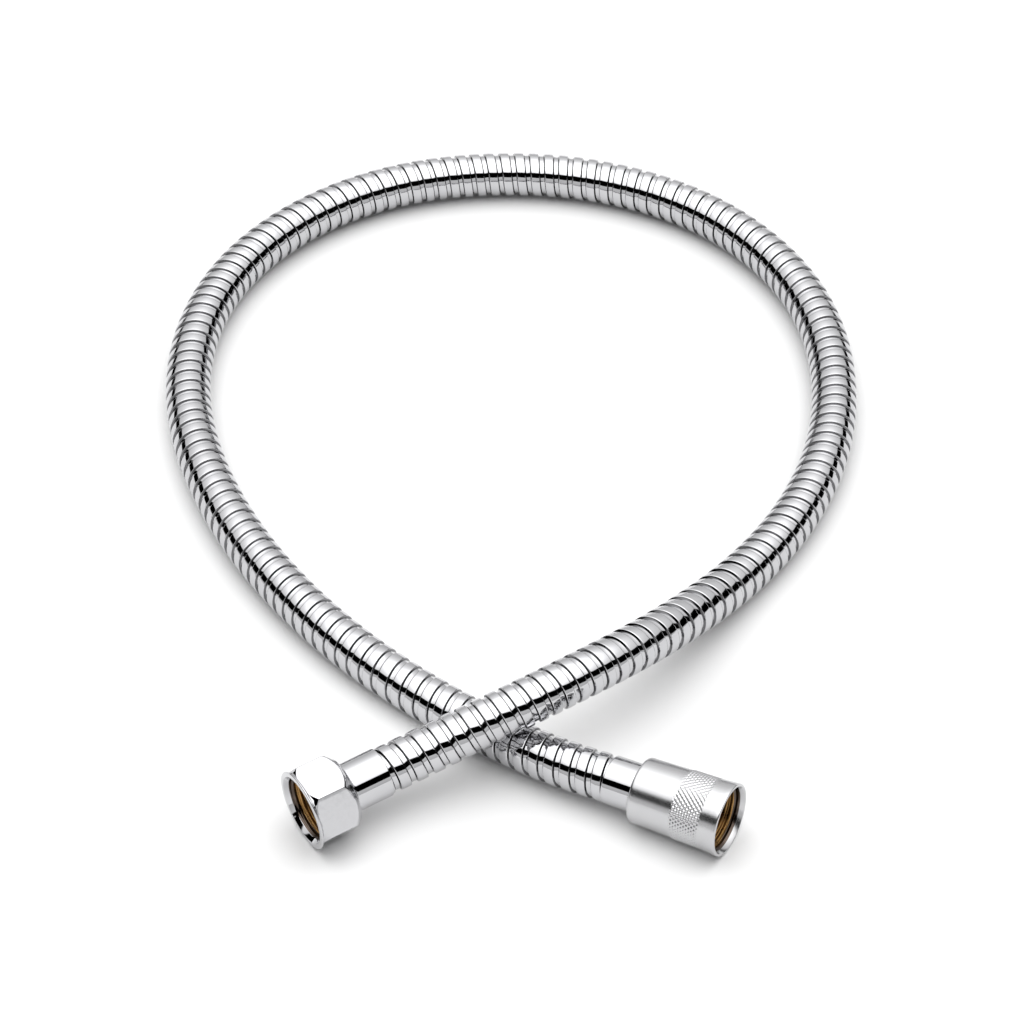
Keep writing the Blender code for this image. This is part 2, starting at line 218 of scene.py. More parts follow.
def hose_route(count):
    """Points along the whole hose, from inside one ferrule to inside the other, and its length."""
    hex_axis = axis_of(HEX_TURN)
    grip_axis = axis_of(GRIP_TURN)
    start = [HEX_MOUTH + hex_axis * float(depth) for depth in np.linspace(HOSE_START, HEX_FERRULE_BACK, 3)]
    finish = [GRIP_MOUTH + grip_axis * float(depth) for depth in np.linspace(GRIP_FERRULE_BACK, HOSE_START, 4)]
    return smooth_through([tuple(point) for point in start] + ROUTE + [tuple(point) for point in finish], count)


def add_object(name, vertices, faces, material, matrix=None, smooth=True):
    mesh = bpy.data.meshes.new(name)
    mesh.from_pydata([tuple(v) for v in vertices], [], faces)
    made = bmesh.new()
    made.from_mesh(mesh)
    bmesh.ops.remove_doubles(made, verts=made.verts, dist=1e-7)
    bmesh.ops.recalc_face_normals(made, faces=made.faces)
    made.to_mesh(mesh)
    made.free()
    mesh.polygons.foreach_set("use_smooth", [smooth] * len(mesh.polygons))
    obj = bpy.data.objects.new(name, mesh)
    bpy.context.scene.collection.objects.link(obj)
    if material:
        mesh.materials.append(material)
    if matrix is not None:
        mesh.transform(matrix)
    return obj


def keep_faces_flat(obj, keep_sharp=False):
    """Weights the shading normals by area, so that broad faces stay true beside small rounded edges."""
    weighted = obj.modifiers.new("Weighted normals", "WEIGHTED_NORMAL")
    weighted.mode = "FACE_AREA"
    weighted.weight = 80
    weighted.keep_sharp = keep_sharp


def ring_faces(rows, columns, closed=True):
    """Quads between rows of points that run round an axis. A closed piece joins its last row to its first."""
    faces = []
    last = rows if closed else rows - 1
    for row in range(last):
        above = (row + 1) % rows
        for column in range(columns):
            beside = (column + 1) % columns
            faces.append((
                row * columns + column, row * columns + beside, above * columns + beside, above * columns + column))
    return faces


def round_corners(outline, steps=4):
    """Rounds a closed outline's corners. Each corner is (radius, depth, rounding)."""
    made = []
    size = len(outline)
    for k, (x, y, rounding) in enumerate(outline):
        here = np.array((x, y))
        before = np.array(outline[k - 1][:2]) - here
        after = np.array(outline[(k + 1) % size][:2]) - here
        if rounding <= 0:
            made.append((x, y))
            continue
        reach_before = min(rounding, 0.45 * np.linalg.norm(before))
        reach_after = min(rounding, 0.45 * np.linalg.norm(after))
        first = here + before / np.linalg.norm(before) * reach_before
        last = here + after / np.linalg.norm(after) * reach_after
        for share in np.linspace(0, 1, steps + 1):
            bent = (1 - share) ** 2 * first + 2 * share * (1 - share) * here + share ** 2 * last
            made.append(tuple(bent))
    return made


def turned_piece(name, outline, material, matrix, steps=96):
    """A piece turned from a closed outline of (radius, depth, rounding) corners."""
    rows = round_corners(outline)
    angles = np.linspace(0, math.tau, steps, endpoint=False)
    vertices = [(r * math.cos(a), r * math.sin(a), z) for r, z in rows for a in angles]
    obj = add_object(name, vertices, ring_faces(len(rows), steps), material, matrix)
    keep_faces_flat(obj)
    return obj


def new_material(name):
    material = bpy.data.materials.new(name)
    material.use_nodes = True
    nodes = material.node_tree.nodes
    return material, nodes, material.node_tree.links, nodes["Principled BSDF"]


def noise_into(nodes, links, scale, detail, coordinates, stretch=(1, 1, 1)):
    mapping = nodes.new("ShaderNodeMapping")
    mapping.inputs["Scale"].default_value = stretch
    links.new(coordinates, mapping.inputs["Vector"])
    noise = nodes.new("ShaderNodeTexNoise")
    noise.inputs["Scale"].default_value = scale
    noise.inputs["Detail"].default_value = detail
    links.new(mapping.outputs["Vector"], noise.inputs["Vector"])
    return noise.outputs["Fac"]


def spread_roughness(nodes, links, shader, fac, low, high):
    reach = nodes.new("ShaderNodeMapRange")
    reach.inputs["From Min"].default_value = 0.3
    reach.inputs["From Max"].default_value = 0.7
    reach.inputs["To Min"].default_value = low
    reach.inputs["To Max"].default_value = high
    links.new(fac, reach.inputs["Value"])
    links.new(reach.outputs["Result"], shader.inputs["Roughness"])


def vary_colour(nodes, links, shader, fac, colour, darker):
    ramp = nodes.new("ShaderNodeValToRGB")
    ramp.color_ramp.elements[0].position = 0.35
    ramp.color_ramp.elements[0].color = (*[c * darker for c in colour], 1)
    ramp.color_ramp.elements[1].position = 0.65
    ramp.color_ramp.elements[1].color = (*colour, 1)
    links.new(fac, ramp.inputs["Fac"])
    links.new(ramp.outputs["Color"], shader.inputs["Base Color"])


def add_bump(nodes, links, shader, fac, strength, distance):
    bump = nodes.new("ShaderNodeBump")
    bump.inputs["Strength"].default_value = strength
    bump.inputs["Distance"].default_value = distance
    links.new(fac, bump.inputs["Height"])
    links.new(bump.outputs["Normal"], shader.inputs["Normal"])


def plated_metal(name, colour, low, high, bump, grain=900, stretch=(1, 1, 1)):
    """Chrome plating: nearly even colour, gloss that varies a little, and a faint waviness."""
    material, nodes, links, shader = new_material(name)
    coordinates = nodes.new("ShaderNodeTexCoord").outputs["Object"]
    shader.inputs["Metallic"].default_value = 1.0
    broad = noise_into(nodes, links, 60, 3, coordinates)
    fine = noise_into(nodes, links, grain, 4, coordinates, stretch)
    vary_colour(nodes, links, shader, broad, colour, 0.96)
    spread_roughness(nodes, links, shader, fine, low, high)
    add_bump(nodes, links, shader, fine, bump, 0.02 * MM)
    return material


def brass_metal(name, colour, low, high):
    material, nodes, links, shader = new_material(name)
    coordinates = nodes.new("ShaderNodeTexCoord").outputs["Object"]
    shader.inputs["Metallic"].default_value = 1.0
    broad = noise_into(nodes, links, 250, 4, coordinates)
    vary_colour(nodes, links, shader, broad, colour, 0.6)
    spread_roughness(nodes, links, shader, broad, low, high)
    add_bump(nodes, links, shader, broad, 0.2, 0.03 * MM)
    return material


def soft_plastic(name, colour, roughness):
    material, nodes, links, shader = new_material(name)
    coordinates = nodes.new("ShaderNodeTexCoord").outputs["Object"]
    grain = noise_into(nodes, links, 700, 5, coordinates)
    vary_colour(nodes, links, shader, grain, colour, 0.8)
    spread_roughness(nodes, links, shader, grain, roughness - 0.08, roughness + 0.08)
    add_bump(nodes, links, shader, grain, 0.3, 0.03 * MM)
    return material


def finishes():
    """The object's materials, made once."""
    materials = bpy.data.materials
    if "mirror_plating" not in materials:
        colours = bpy.context.scene.hose_finishes
        plated_metal("mirror_plating", tuple(colours.chrome), 0.03, 0.06, 0.05)
        plated_metal("strip_plating", tuple(colours.armour), 0.04, 0.08, 0.10)
        # Dark plating for the seams: painted shade in the crevices between the bands
        plated_metal("painted_seam_shade", tuple(colours.seam), 0.10, 0.16, 0.10)
        plated_metal("satin_plating", tuple(colours.satin), 0.20, 0.25, 0.08, 1500)
        brass_metal("bare_brass", tuple(colours.brass), 0.22, 0.38)
        # Dark brass for the first threads: painted shade inside the nuts' mouths
        brass_metal("painted_bore_shade", tuple(colours.thread_shade), 0.10, 0.20)
        soft_plastic("washer_rubber", tuple(colours.rubber), 0.7)
        soft_plastic("tube_plastic", tuple(colours.liner), 0.5)
    return materials


def crimp_share(place, length):
    """How far the hose is squeezed at each place: 1 inside a ferrule, 0 along the free hose."""
    swage = 1.2 * MM
    into_hex = HEX_FERRULE_BACK - HOSE_START - place
    into_grip = place - (length - (GRIP_FERRULE_BACK - HOSE_START))
    return np.clip(1 + np.maximum(into_hex, into_grip) / swage, 0.0, 1.0)


def band_profile(sizes):
    """One turn of the strip as (share of the turn, depth below the raised band)."""
    wide = sizes.wide_share
    step = sizes.step
    edge = 0.06 * MM / sizes.pitch
    return [
        (0.0, 0.24 * MM), (edge, 0.09 * MM), (4.5 * edge, 0.045 * MM), (wide / 2, 0.0),
        (wide - 4.5 * edge, 0.045 * MM), (wide - edge, 0.09 * MM), (wide, 0.24 * MM),
        (wide + 0.052, step + 0.08 * MM), (wide + 0.066, step + 0.03 * MM), (wide + 0.2, step + 0.10 * MM),
        (0.934, step + 0.03 * MM), (0.948, step + 0.08 * MM)]


def hose_frames(centre, length, along):
    """The middle line's point at each place along it, and the sideways and upward directions there."""
    places = np.linspace(0, length, len(centre))
    tangent = np.gradient(centre, axis=0)
    tangent /= np.linalg.norm(tangent, axis=1)[:, None]
    spot = np.stack([np.interp(along, places, centre[:, k]) for k in range(3)], axis=-1)
    ahead = np.stack([np.interp(along, places, tangent[:, k]) for k in range(3)], axis=-1)
    side = np.cross(ahead, (0, 0, 1.0))
    side /= np.linalg.norm(side, axis=-1)[..., None]
    return spot, side, np.cross(side, ahead)


def armour_points(sizes, around):
    """Points of the wound strip's outer side, in order along the winding, then round the hose."""
    centre, length = hose_route(ROUTE_POINTS)
    turned, reached = np.array(WINDING).T
    first = math.ceil(turned[0])
    turns = int(turned[-1]) - 1 - first
    profile = band_profile(sizes)
    share = np.array([p[0] for p in profile])
    depth = np.array([p[1] for p in profile])
    angle = np.arange(around) / around
    turn = first + np.arange(turns)
    # Axes are turn, profile point, place round the hose.
    winding = turn[:, None, None] + share[None, :, None] + angle[None, None, :]
    along = np.interp(winding, turned, reached * length / reached[-1])
    along = along.reshape(-1, around)
    sunk = np.tile(depth, turns)[:, None] * np.ones(around)
    squeeze = crimp_share(along, length)
    crimp = (sizes.diameter - sizes.crimped) / 2
    radius = sizes.diameter / 2 - crimp * squeeze - sunk * (1 - CRIMP_FLATTENING * squeeze)
    spot, side, up = hose_frames(centre, length, along)
    spin = angle * math.tau
    outward = up * np.cos(spin)[None, :, None] + side * np.sin(spin)[None, :, None]
    return spot + outward * radius[..., None], centre, length


def sharpen_seams(mesh, around, per_turn, count):
    """Marks the edges where the bands meet the seams between them, so that both shade true."""
    ends = np.empty(len(mesh.edges) * 2, dtype=np.int64)
    mesh.edges.foreach_get("vertices", ends)
    ends = ends.reshape(-1, 2)
    row = ends // around
    place = row % per_turn
    sharp = (ends.max(axis=1) < count) & (place[:, 0] == place[:, 1]) & np.isin(place[:, 0], SEAM_EDGES)
    mark = mesh.attributes.new("sharp_edge", "BOOLEAN", "EDGE")
    mark.data.foreach_set("value", sharp)


def is_shaded_seam(face, around, per_turn):
    """Whether a face of the winding lies in a seam, which is painted dark as shade, judged by the two profile places
    that it joins.
    """
    places = sorted({v // around % per_turn for v in face.vertices})
    return places in SHADED_SEAM_FACES


def spiral_faces(rows, columns, per_turn):
    """Quads of a winding: past the last column, each row goes on as the row one turn further."""
    faces = []
    for row in range(rows - 1):
        for column in range(columns):
            if column < columns - 1:
                a, b = row * columns + column, row * columns + column + 1
                c, d = (row + 1) * columns + column + 1, (row + 1) * columns + column
            else:
                if row + 1 + per_turn >= rows:
                    continue
                a, b = row * columns + column, (row + per_turn) * columns
                c, d = (row + 1 + per_turn) * columns, (row + 1) * columns + column
            faces.append((a, b, c, d))
    return faces


def open_loops(made):
    """The mesh's open edges, gathered into separate rings."""
    left = {edge for edge in made.edges if edge.is_boundary}
    rings = []
    while left:
        ring = [left.pop()]
        grown = True
        while grown:
            grown = False
            ends = {v for edge in ring for v in edge.verts}
            for edge in list(left):
                if edge.verts[0] in ends or edge.verts[1] in ends:
                    ring.append(edge)
                    left.discard(edge)
                    grown = True
        rings.append(ring)
    return rings


def inner_wall(sizes, centre, length):
    """Points of the strip's plain inner wall, ring by ring."""
    inset = sizes.pitch * 1.1
    along = np.linspace(inset * 0.5, length - inset * 1.5, BORE_ROWS)
    spot, side, up = hose_frames(centre, length, along)
    spin = np.arange(BORE_AROUND) / BORE_AROUND * math.tau
    ring = up[:, None, :] * np.cos(spin)[None, :, None] + side[:, None, :] * np.sin(spin)[None, :, None]
    return (spot[:, None, :] + ring * STRIP_BORE).reshape(-1, 3)


def far_from_hexagon(ring):
    """A ring of edges' mean distance from the hexagon nut's mouth."""
    return sum(((e.verts[0].co + e.verts[1].co) / 2 - HEX_MOUTH).length for e in ring) / len(ring)


def make_armour(sizes, material):
    """The wound strip, hollow, from cut end to cut end."""
    around = STRIP_AROUND
    outer, centre, length = armour_points(sizes, around)
    rows = outer.shape[0]
    per_turn = len(band_profile(sizes))
    outer_faces = spiral_faces(rows, around, per_turn)
    vertices = list(outer.reshape(-1, 3))
    first = len(vertices)
    vertices += list(inner_wall(sizes, centre, length))
    inner_faces = [tuple(first + k for k in face) for face in ring_faces(BORE_ROWS, BORE_AROUND, closed=False)]
    mesh = bpy.data.meshes.new("wound_strip")
    mesh.from_pydata([tuple(v) for v in vertices], [], outer_faces + inner_faces)
    made = bmesh.new()
    made.from_mesh(mesh)
    # The strip's and the inner wall's open ends are joined, first those by the hexagon nut.
    rings = sorted(open_loops(made), key=far_from_hexagon)
    for pair in (rings[:2], rings[2:]):
        bmesh.ops.bridge_loops(made, edges=pair[0] + pair[1])
    bmesh.ops.recalc_face_normals(made, faces=made.faces)
    made.to_mesh(mesh)
    made.free()
    mesh.polygons.foreach_set("use_smooth", [True] * len(mesh.polygons))
    sharpen_seams(mesh, around, per_turn, first)
    mesh.materials.append(material)
    # The second material is painted shade: faces in the seams take it so the crevices between the bands look dark
    mesh.materials.append(finishes()["painted_seam_shade"])
    for face in mesh.polygons:
        if max(face.vertices) < first and is_shaded_seam(face, around, per_turn):
            face.material_index = 1
    obj = bpy.data.objects.new("wound_strip", mesh)
    bpy.context.scene.collection.objects.link(obj)
    keep_faces_flat(obj, keep_sharp=True)
    return obj, centre


class HOSE_OT_armour(bpy.types.Operator):
    """Builds the wound metal strip along the hose's route"""
    bl_idname = "hose.armour"
    bl_label = "Wound armour"

    def execute(self, context):
        sizes = context.scene.hose_armour
        strip, centre = make_armour(sizes, finishes()["strip_plating"])
        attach(strip, "hose")
        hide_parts("hose_armour")
        return {"FINISHED"}


class HOSE_OT_ferrules(bpy.types.Operator):
    """Builds the two crimp sleeves that hold the hose's ends"""
    bl_idname = "hose.ferrules"
    bl_label = "Ferrules"

    def execute(self, context):
        for name, place, radius, back in (
                ("hex", (HEX_MOUTH, HEX_TURN), 8.05 * MM, HEX_FERRULE_BACK),
                ("grip", (GRIP_MOUTH, GRIP_TURN), 7.85 * MM, GRIP_FERRULE_BACK)):
            neck = 6.8 * MM
            bore = 7.4 * MM
            outline = [
                (bore, back, 0), (radius, back, 0.5 * MM), (radius, FERRULE_FRONT, 0.8 * MM),
                (neck, FERRULE_FRONT, 0.2 * MM), (neck, NECK_BACK, 0), (bore, NECK_BACK, 0)]
            piece = turned_piece(name + "_sleeve", outline, finishes()["mirror_plating"], end_matrix(*place))
            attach(piece, "hose")
            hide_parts(name + "_ferrule")
        return {"FINISHED"}


def thread_rows(front, back, root, crest, pitch, angles):
    """Rows of a bore with a female thread between two depths, fading out at both of them."""
    rows = []
    count = int((back - front) / (0.14 * MM))
    for depth in np.linspace(front, back, count):
        fade = min((depth - front) / (0.8 * pitch), (back - depth) / (0.8 * pitch), 1.0)
        row = []
        for angle in angles:
            phase = (depth / pitch - angle / math.tau) % 1.0
            ridge = np.clip((0.5 - abs(phase - 0.5)) * 3.2 - 0.35, 0.0, 1.0)
            row.append((root - (root - crest) * ridge * fade, depth))
        rows.append(row)
    return rows


def build_nut(name, rows, matrix, outside, inside_from, inside_to):
    """Joins rows of (x, y, depth) points into a closed nut, with bare metal between two rows of its bore, painted
    dark as shade over its first threads.
    """
    vertices = [point for row in rows for point in row]
    count = len(rows[0])
    faces = ring_faces(len(rows), count)
    mesh = bpy.data.meshes.new(name)
    mesh.from_pydata([tuple(v) for v in vertices], [], faces)
    mesh.materials.append(outside)
    mesh.materials.append(finishes()["bare_brass"])
    # The third material is darker brass, painted shade on the first threads inside the mouth
    mesh.materials.append(finishes()["painted_bore_shade"])
    for face in mesh.polygons:
        row = face.index // count
        if inside_from <= row < inside_to:
            face.material_index = 2 if rows[row][0][2] < SHADED_THREAD_DEPTH else 1
    made = bmesh.new()
    made.from_mesh(mesh)
    bmesh.ops.recalc_face_normals(made, faces=made.faces)
    made.to_mesh(mesh)
    made.free()
    mesh.polygons.foreach_set("use_smooth", [True] * len(mesh.polygons))
    mesh.transform(matrix)
    obj = bpy.data.objects.new(name, mesh)
    bpy.context.scene.collection.objects.link(obj)
    keep_faces_flat(obj)
    return obj


def round_row(radius, depth, angles):
    return [(radius * math.cos(a), radius * math.sin(a), depth) for a in angles]


def hexagon_points(across_flats, rounding):
    """Points round a hexagon with rounded corners, rolled a little towards the camera."""
    points = []
    inner = across_flats / 2 - rounding
    for corner in range(6):
        middle = corner * math.pi / 3 + HEX_ROLL
        centre = np.array((math.cos(middle), math.sin(middle))) * inner / math.cos(math.pi / 6)
        for share in np.linspace(-1, 1, 6):
            turn = middle + share * math.pi / 6
            points.append(centre + rounding * np.array((math.cos(turn), math.sin(turn))))
        last = points[-1]
        next_middle = middle + math.pi / 3
        next_centre = np.array((math.cos(next_middle), math.sin(next_middle))) * inner / math.cos(math.pi / 6)
        turn = next_middle - math.pi / 6
        following = next_centre + rounding * np.array((math.cos(turn), math.sin(turn)))
        for share in np.linspace(0, 1, 12)[1:-1]:
            points.append(last + (following - last) * share)
    return points


def hexagon_rows(sizes):
    """Outer rows of the hexagon nut from its mouth to its back, and the angle of each column."""
    flat = sizes.across_flats / 2
    points = hexagon_points(sizes.across_flats, 0.45 * MM)
    angles = [math.atan2(p[1], p[0]) for p in points]
    reach = [float(np.linalg.norm(p)) for p in points]
    corner = max(reach)
    lip = flat + 1.02 * MM
    lip_back = 0.5 * MM
    shoulder = flat + 0.55 * MM
    shoulder_depth = 0.95 * MM
    corner_back = sizes.hex_length - 3.7 * MM
    back_radius = flat - 1.0 * MM
    rows = []
    # Lip, from its flat end face outwards
    for radius, depth in (
            (lip - 0.5 * MM, 0.0), (lip - 0.24 * MM, 0.05 * MM), (lip - 0.07 * MM, 0.18 * MM),
            (lip, 0.36 * MM), (lip, lip_back)):
        rows.append(round_row(radius, depth, angles))

    def front_depth(radius):
        return shoulder_depth + 1.36 * max(radius - shoulder, 0.0) + 0.3 * max(shoulder - radius, 0.0)

    def back_depth(radius):
        share = (corner - radius) / (corner - back_radius)
        return corner_back + (share ** 0.8) * (sizes.hex_length - 0.5 * MM - corner_back)

    # Front chamfer, flats, then back chamfer
    for share in (0.0, 0.35, 0.7, 0.93):
        row = []
        for angle, far in zip(angles, reach):
            start = min(shoulder, far - 0.04 * MM)
            radius = start + (far - start) * share
            row.append((radius * math.cos(angle), radius * math.sin(angle), front_depth(radius) + 0.04 * MM * share))
        rows.append(row)
    for share in (0.0, 0.03, 0.1, 0.5, 0.9, 0.97, 1.0):
        row = []
        for point, far in zip(points, reach):
            front = front_depth(far) + 0.05 * MM
            back = back_depth(far) - 0.05 * MM
            row.append((point[0], point[1], front + (back - front) * share))
        rows.append(row)
    for share in (0.05, 0.2, 0.4, 0.6, 0.8, 1.0):
        row = []
        for angle, far in zip(angles, reach):
            radius = far + (back_radius - far) * share
            row.append((radius * math.cos(angle), radius * math.sin(angle), back_depth(radius)))
        rows.append(row)
    for radius, depth in (
            (back_radius - 0.15 * MM, sizes.hex_length - 0.2 * MM), (back_radius - 0.5 * MM, sizes.hex_length),
            (NUT_HOLE_RADIUS + 0.4 * MM, sizes.hex_length), (NUT_HOLE_RADIUS, sizes.hex_length - 0.3 * MM)):
        rows.append(round_row(radius, depth, angles))
    return rows, angles


def bore_rows(sizes, angles, opening, sunk):
    """Inner rows of a nut from its back hole to its mouth, with a countersink as wide as the opening."""
    rows = [
        round_row(NUT_HOLE_RADIUS, NUT_SHELF_DEPTH, angles), round_row(9.6 * MM, NUT_SHELF_DEPTH, angles),
        round_row(10.0 * MM, NUT_SHELF_DEPTH - 0.2 * MM, angles)]
    thread = thread_rows(sunk + 0.5 * MM, THREAD_BACK, THREAD_ROOT, THREAD_CREST, sizes.thread_pitch, angles)
    for row in reversed(thread):
        rows.append([(r * math.cos(a), r * math.sin(a), depth) for (r, depth), a in zip(row, angles)])
    brass_end = len(rows)
    for radius, depth in (
            (THREAD_ROOT + 0.10 * MM, sunk + 0.08 * MM), (THREAD_ROOT + 0.23 * MM, sunk - 0.06 * MM),
            (opening - 0.05 * MM, 0.09 * MM), (opening + 0.08 * MM, 0.0)):
        rows.append(round_row(radius, depth, angles))
    return rows, brass_end


class HOSE_OT_hexagon_nut(bpy.types.Operator):
    """Builds the hexagon nut with its chamfers, lip and thread"""
    bl_idname = "hose.hexagon_nut"
    bl_label = "Hexagon nut"

    def execute(self, context):
        sizes = context.scene.hose_nuts
        outer, angles = hexagon_rows(sizes)
        inner, brass_end = bore_rows(sizes, angles, 11.45 * MM, 1.35 * MM)
        rows = outer + inner
        nut = build_nut("hexagon_nut", rows, end_matrix(HEX_MOUTH, HEX_TURN), finishes()["mirror_plating"],
                        len(outer) + 1, len(outer) + brass_end)
        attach(nut, "hex_nut")
        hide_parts("hex_nut")
        return {"FINISHED"}


def groove(turns):
    """How deep one set of grooves is cut, from 0 on the diamonds to 1 in the groove's middle."""
    return max(0.0, 1 - 1.4 * (1 - abs(2 * (turns % 1.0) - 1)))


def knurl_pit(angle, depth):
    """Share of the knurling's depth that two crossing sets of grooves cut, deepest where they cross."""
    first = groove(DIAMONDS * angle / math.tau + depth / DIAMOND_LENGTH)
    second = groove(DIAMONDS * angle / math.tau - depth / DIAMOND_LENGTH)
    return 0.5 * max(first, second) + 0.5 * first * second


def grip_rows(sizes, angles):
    """Outer rows of the grip nut from its mouth to its back."""
    lip = sizes.grip_diameter / 2
    length = sizes.grip_length
    rows = []
    for radius, depth in (
            (lip - 0.55 * MM, 0.0), (lip - 0.22 * MM, 0.05 * MM), (lip - 0.06 * MM, 0.2 * MM), (lip, 0.5 * MM),
            (lip - 0.03 * MM, 1.6 * MM), (lip - 0.2 * MM, 3.9 * MM), (lip - 0.34 * MM, KNURL_FRONT - 0.2 * MM)):
        rows.append(round_row(radius, depth, angles))
    body = lip - 0.68 * MM
    for depth in np.linspace(KNURL_FRONT, KNURL_BACK, KNURL_ROWS):
        front_fade = min((depth - KNURL_FRONT) / KNURL_FADE, 1.0)
        back_fade = min((KNURL_BACK - depth) / KNURL_FADE, 1.0)
        tip = lip - 0.34 * MM - 0.022 * (depth - KNURL_FRONT)
        row = []
        for angle in angles:
            pit = sizes.knurl_depth * knurl_pit(angle, depth)
            radius = body + back_fade * (tip - body - front_fade * pit)
            row.append((radius * math.cos(angle), radius * math.sin(angle), depth))
        rows.append(row)
    back = 10.65 * MM
    back_round = 1.2 * MM
    for radius, depth in (
            (body - 0.03 * MM, KNURL_BACK + 0.3 * MM), (body - 0.10 * MM, KNURL_BACK + 2 * MM),
            (back + 0.05 * MM, length - back_round - 2 * MM)):
        rows.append(round_row(radius, depth, angles))
    for share in np.linspace(0, 1, 8):
        turn = share * math.pi / 2
        radius = back - back_round * 0.7 * (1 - math.cos(turn))
        rows.append(round_row(radius, length - back_round * (1 - math.sin(turn)), angles))
    # The recess behind the thread that takes the ferrule
    for radius, depth in (
            (8.9 * MM, length), (8.6 * MM, length - 0.25 * MM), (8.6 * MM, 15.8 * MM), (8.4 * MM, 15.4 * MM),
            (NUT_HOLE_RADIUS + 0.2 * MM, 15.4 * MM), (NUT_HOLE_RADIUS, 15.2 * MM)):
        rows.append(round_row(radius, depth, angles))
    return rows


class HOSE_OT_grip_nut(bpy.types.Operator):
    """Builds the grip nut with its knurled band, lip and thread"""
    bl_idname = "hose.grip_nut"
    bl_label = "Grip nut"

    def execute(self, context):
        sizes = context.scene.hose_nuts
        angles = list(np.linspace(0, math.tau, GRIP_AROUND, endpoint=False))
        outer = grip_rows(sizes, angles)
        inner, brass_end = bore_rows(sizes, angles, 11.0 * MM, 1.45 * MM)
        nut = build_nut("knurled_grip_nut", outer + inner, end_matrix(GRIP_MOUTH, GRIP_TURN),
                        finishes()["satin_plating"], len(outer) + 1, len(outer) + brass_end)
        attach(nut, "grip_nut")
        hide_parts("grip_nut")
        return {"FINISHED"}


class HOSE_OT_inner_pieces(bpy.types.Operator):
    """Builds the washers and inserts seen through the mouths, and finishes the liner"""
    bl_idname = "hose.inner_pieces"
    bl_label = "Inserts, washers and liner"

    def execute(self, context):
        flange = 9.3 * MM
        waterway = 3.0 * MM
        neck = 6.5 * MM
        tail = 3.9 * MM
        back = 28.5 * MM
        hole = 5.5 * MM
        barbs = []
        depth = 25.5 * MM
        while depth > 19.5 * MM:
            barbs += [(tail, depth, 0), (tail - 0.5 * MM, depth - 0.3 * MM, 0)]
            depth -= 3 * MM
        insert = [
            (waterway, back, 0), (waterway + 0.3 * MM, back, 0), *barbs, (tail - 0.5 * MM, NECK_BACK, 0),
            (neck, NECK_BACK, 0), (neck, 12.5 * MM, 0), (flange, 12.5 * MM, 0.2 * MM),
            (flange, 10.5 * MM, 0.2 * MM), (waterway, 10.5 * MM, 0.4 * MM)]
        washer = [
            (flange, 10.2 * MM, 0.3 * MM), (flange, 8.2 * MM, 0.3 * MM), (hole, 8.2 * MM, 0.3 * MM),
            (hole, 10.2 * MM, 0.3 * MM)]
        for name, place in (("hex", (HEX_MOUTH, HEX_TURN)), ("grip", (GRIP_MOUTH, GRIP_TURN))):
            made = turned_piece(name + "_flanged_insert", insert, finishes()["bare_brass"], end_matrix(*place), 64)
            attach(made, "hose")
            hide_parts(name + "_insert")
            made = turned_piece(name + "_seal", washer, finishes()["washer_rubber"], end_matrix(*place), 64)
            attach(made, "hose")
            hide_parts(name + "_washer")
        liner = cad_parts["hose_liner"]
        liner.data.materials.clear()
        liner.data.materials.append(finishes()["tube_plastic"])
        return {"FINISHED"}


def math_node(nodes, links, operation, *values):
    node = nodes.new("ShaderNodeMath")
    node.operation = operation
    for k, value in enumerate(values):
        if isinstance(value, (int, float)):
            node.inputs[k].default_value = value
        else:
            links.new(value, node.inputs[k])
    return node.outputs[0]


def above_plane(nodes, links, direction, tilt, height, blur):
    """1 where the direction lies above a plane tilted towards the back, 0 below it, with a narrow blur between."""
    dot = nodes.new("ShaderNodeVectorMath")
    dot.operation = "DOT_PRODUCT"
    dot.inputs[1].default_value = (0.0, math.sin(math.radians(tilt)), math.cos(math.radians(tilt)))
    links.new(direction, dot.inputs[0])
    edge = nodes.new("ShaderNodeMapRange")
    edge.interpolation_type = "SMOOTHSTEP"
    edge.inputs["From Min"].default_value = height - blur
    edge.inputs["From Max"].default_value = height + blur
    links.new(dot.outputs["Value"], edge.inputs["Value"])
    return edge.outputs["Result"]


